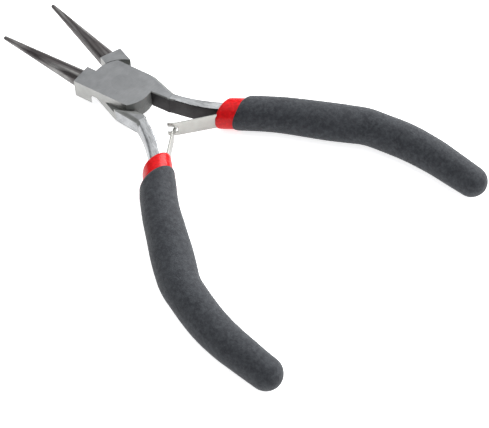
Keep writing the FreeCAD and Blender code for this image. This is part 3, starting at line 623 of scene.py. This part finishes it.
def make_grip(side, seed):
    """Charcoal dip: slanted front edge, palm swell, waist, rounded end and a granular skin."""
    rings = []
    count = 132
    edge_steps = 10
    edge_depth = 1.3
    wide, high = grip_size(GRIP_FRONT)
    sleeve_wide, sleeve_high, shift = sleeve_size(GRIP_FRONT)
    for index in range(edge_steps):
        angle = math.pi / 2 * index / edge_steps
        rise = math.sin(angle)
        distance = GRIP_FRONT + edge_depth * (1 - math.cos(angle))
        ring_wide = mix(sleeve_wide - 0.5, wide, rise)
        ring_high = mix(sleeve_high - 0.5, high, rise)
        rings.append(slanted_ring(distance, ring_wide, ring_high, shift * (1 - rise),
                                  grip_slant, count, 2.0))
    step = 0.24
    distance = GRIP_FRONT + edge_depth
    while distance < GRIP_DOME:
        wide, high = grip_size(distance)
        rings.append(slanted_ring(distance, wide, high, 0.0, grip_slant, count, 2.0))
        distance += step
    dome_length, dome_steps = 3.9, 22
    wide, high = grip_size(GRIP_DOME)
    for index in range(dome_steps):
        angle = math.pi / 2 * (index + 0.5) / dome_steps
        shrink = math.cos(angle)
        rings.append(handle_ring(GRIP_DOME + dome_length * math.sin(angle), wide * shrink,
                                 high * shrink, 0.0, 0.0, count))
    offset = Vector((seed * 11.7, -seed * 5.3, seed * 2.9))
    for number, ring in enumerate(rings):
        centre = sum(ring, Vector()) / len(ring)
        uneven = mix(0.25, 1.0, ease(number, 0, 24))
        for index, point in enumerate(ring):
            away = (point - centre).normalized()
            lumps = noise.noise((point + offset) * 0.16) * 0.10
            grain = noise.noise((point + offset) * 2.6) * 0.035
            ring[index] = point + away * (lumps + grain - 0.09) * uneven
    mesh = grid_tube(rings)
    data = finish_mesh(mesh, f"{side}_outer_grip", half_matrix(side))
    piece = mesh_object(f"{side}_outer_grip", data, [GRIP])
    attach(piece, f"{side}_side")
    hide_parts(f"{side}_grip")


# ---------------------------------------------------------------- leaf springs

def leaf_path(kind, distance):
    """Plan point and direction along a leaf, with 0 at the sleeve's mouth."""
    toward_tip = (LEAF_CROSSING[kind] - LEAF_MOUTH).normalized()
    foot_start, foot_along = route_at(LEAF_FOOT_START)
    seat = UP.cross(foot_along) * -(TANG_CORE_HALF_WIDTH + LEAF_SEAT_GAP + LEAF_THICKNESS / 2)
    foot = foot_start + seat
    bend = LEAF_MOUTH - toward_tip * LEAF_BEND_INSIDE
    if distance > -LEAF_BEND_INSIDE:
        return LEAF_MOUTH + toward_tip * distance, toward_tip
    run = (bend - foot).length
    along = (bend - foot).normalized()
    if distance > -LEAF_BEND_INSIDE - run:
        return bend + along * (distance + LEAF_BEND_INSIDE), along
    return foot - foot_along * (distance + LEAF_BEND_INSIDE + run), -foot_along


def make_leaf(side, forked):
    """Spring strip in plan: blade with a fork or a tongue, root and foot hidden in the sleeve."""
    kind = "forked" if forked else "tongued"
    reach, narrow_at = LEAF_REACH[kind], LEAF_NARROWS[kind]
    slot = FORK_SLOT_HALF if forked else TONGUE_HALF
    hidden = -5.0
    step = 0.2
    count = int(round((reach - hidden) / step))
    mesh = bmesh.new()
    rows = []
    for index in range(count + 1):
        distance = hidden + (reach - hidden) * index / count
        half = mix(LEAF_WIDTH, LEAF_TIP_WIDTH, max(0.0, distance) / reach) / 2
        if not forked:
            half = mix(half, slot, ease(distance, narrow_at - 0.9, narrow_at))
        end_round = max(0.0, distance - (reach - LEAF_TIP_ROUND)) / LEAF_TIP_ROUND
        half -= 0.25 * end_round ** 2 if forked else 0.2 * end_round ** 2
        point, along = leaf_path(kind, distance)
        curl = 0.5 * max(0.0, (distance - narrow_at) / (reach - narrow_at)) ** 2
        normal = UP.cross(along)
        centre = point + UP * MIDDLE + normal * curl * (-1 if forked else 1)
        row = []
        for across in (-half, -slot, slot, half):
            for face in (-1, 1):
                offset = normal * face * LEAF_THICKNESS / 2
                row.append(mesh.verts.new(centre + UP * across + offset))
        rows.append((distance, row))
    mesh.verts.ensure_lookup_table()
    columns = ((0, 2), (2, 4), (4, 6))
    for (near_distance, near), (far_distance, far) in zip(rows, rows[1:]):
        middle = (near_distance + far_distance) / 2
        for column, (low, high) in enumerate(columns):
            inner = column == 1
            if forked and inner and middle > narrow_at:
                continue
            if not forked and not inner and middle > narrow_at:
                continue
            corners = [near[low], near[high], far[high], far[low]]
            others = [near[low + 1], near[high + 1], far[high + 1], far[low + 1]]
            mesh.faces.new(corners)
            mesh.faces.new(list(reversed(others)))
    mesh.normal_update()
    rim = [edge for edge in mesh.edges if len(edge.link_faces) == 1]
    partner = {}
    for _, row in rows:
        for index in range(0, len(row), 2):
            partner[row[index]] = row[index + 1]
            partner[row[index + 1]] = row[index]
    done = set()
    for edge in rim:
        a, b = edge.verts
        key = frozenset((a, b, partner[a], partner[b]))
        if key in done:
            continue
        done.add(key)
        mesh.faces.new((a, b, partner[b], partner[a]))
    loose = [vertex for vertex in mesh.verts if not vertex.link_faces]
    bmesh.ops.delete(mesh, geom=loose, context="VERTS")
    bmesh.ops.remove_doubles(mesh, verts=mesh.verts, dist=0.001)
    data = finish_mesh(mesh, "leaf", half_matrix(side), smooth=False)
    name = "forked_spring_leaf" if forked else "tongued_spring_leaf"
    piece = mesh_object(name, data, [SPRING])
    bevel = piece.modifiers.new("rolled_edges", "BEVEL")
    bevel.width = 0.09 * MM
    bevel.segments = 2
    bevel.limit_method = "ANGLE"
    bevel.angle_limit = math.radians(50)
    apply_modifiers(piece)
    for polygon in piece.data.polygons:
        polygon.use_smooth = True
    piece.data.set_sharp_from_angle(angle=math.radians(40))
    matrix = half_matrix(side)
    start = matrix @ (leaf_path(kind, -0.8)[0] + UP * MIDDLE)
    end = matrix @ (leaf_path(kind, 3.5)[0] + UP * MIDDLE)
    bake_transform(piece)
    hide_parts("forked_leaf" if forked else "tongued_leaf")


# ---------------------------------------------------------------- stage

def make_floor():
    lowest = CAD_BOX[0].z
    size = 2.0
    mesh = bmesh.new()
    corners = [(-size, -size), (size, -size), (size, size), (-size, size)]
    mesh.faces.new([mesh.verts.new((x, y, lowest)) for x, y in corners])
    data = bpy.data.meshes.new("floor")
    mesh.to_mesh(data)
    mesh.free()
    mesh_object("floor", data, [floor_material()])


def make_light(name, position, target, size, power):
    light = bpy.data.lights.new(name, "AREA")
    light.shape = "RECTANGLE"
    light.size, light.size_y = size
    light.energy = power
    lamp = bpy.data.objects.new(name, light)
    lamp.location = position
    lamp.rotation_euler = (Vector(target) - Vector(position)).to_track_quat("-Z", "Y").to_euler()
    bpy.context.scene.collection.objects.link(lamp)


def make_studio():
    world = bpy.data.worlds.new("studio")
    bpy.context.scene.world = world
    world.use_nodes = True
    background = world.node_tree.nodes["Background"]
    background.inputs["Color"].default_value = (0.97, 0.985, 1.0, 1.0)
    background.inputs["Strength"].default_value = 0.48
    centre = (0.0, -0.03, 0.0)
    make_light("top_softbox", (0.05, 0.10, 0.90), centre, (1.3, 1.3), 5.5)
    make_light("key_softbox", (0.66, -0.06, 0.40), centre, (0.6, 0.6), 9.5)
    bpy.context.scene.view_settings.view_transform = "Standard"


def make_camera():
    data = bpy.data.cameras.new("camera")
    data.sensor_width = 36.0
    data.lens = 93.1
    data.clip_start = 0.01
    data.clip_end = 10.0
    camera = bpy.data.objects.new("camera", data)
    right = Vector((0.6836, -0.7298, 0.0030)).normalized()
    forward = Vector((0.4503, 0.4185, -0.7888)).normalized()
    up = right.cross(forward).normalized()
    right = forward.cross(up)
    rotation = Matrix((right, up, -forward)).transposed().to_4x4()
    place = Vector((-0.13686, -0.16815, 0.22606 + MIDDLE * MM))
    camera.matrix_world = Matrix.Translation(place) @ rotation
    bpy.context.scene.collection.objects.link(camera)
    bpy.context.scene.camera = camera


# ---------------------------------------------------------------- build

for number, half in enumerate(("upper", "lower")):
    make_forging(half)
    make_sleeve(half, number + 1)
    make_grip(half, number + 1)
    make_leaf(half, half == "upper")
for rivet in ("pivot_rivet", "upper_leaf_rivet", "lower_leaf_rivet"):
    solid = frame["nodes"][rivet]
    solid.data.materials.clear()
    solid.data.materials.append(RIVET)
make_floor()
make_studio()
make_camera()
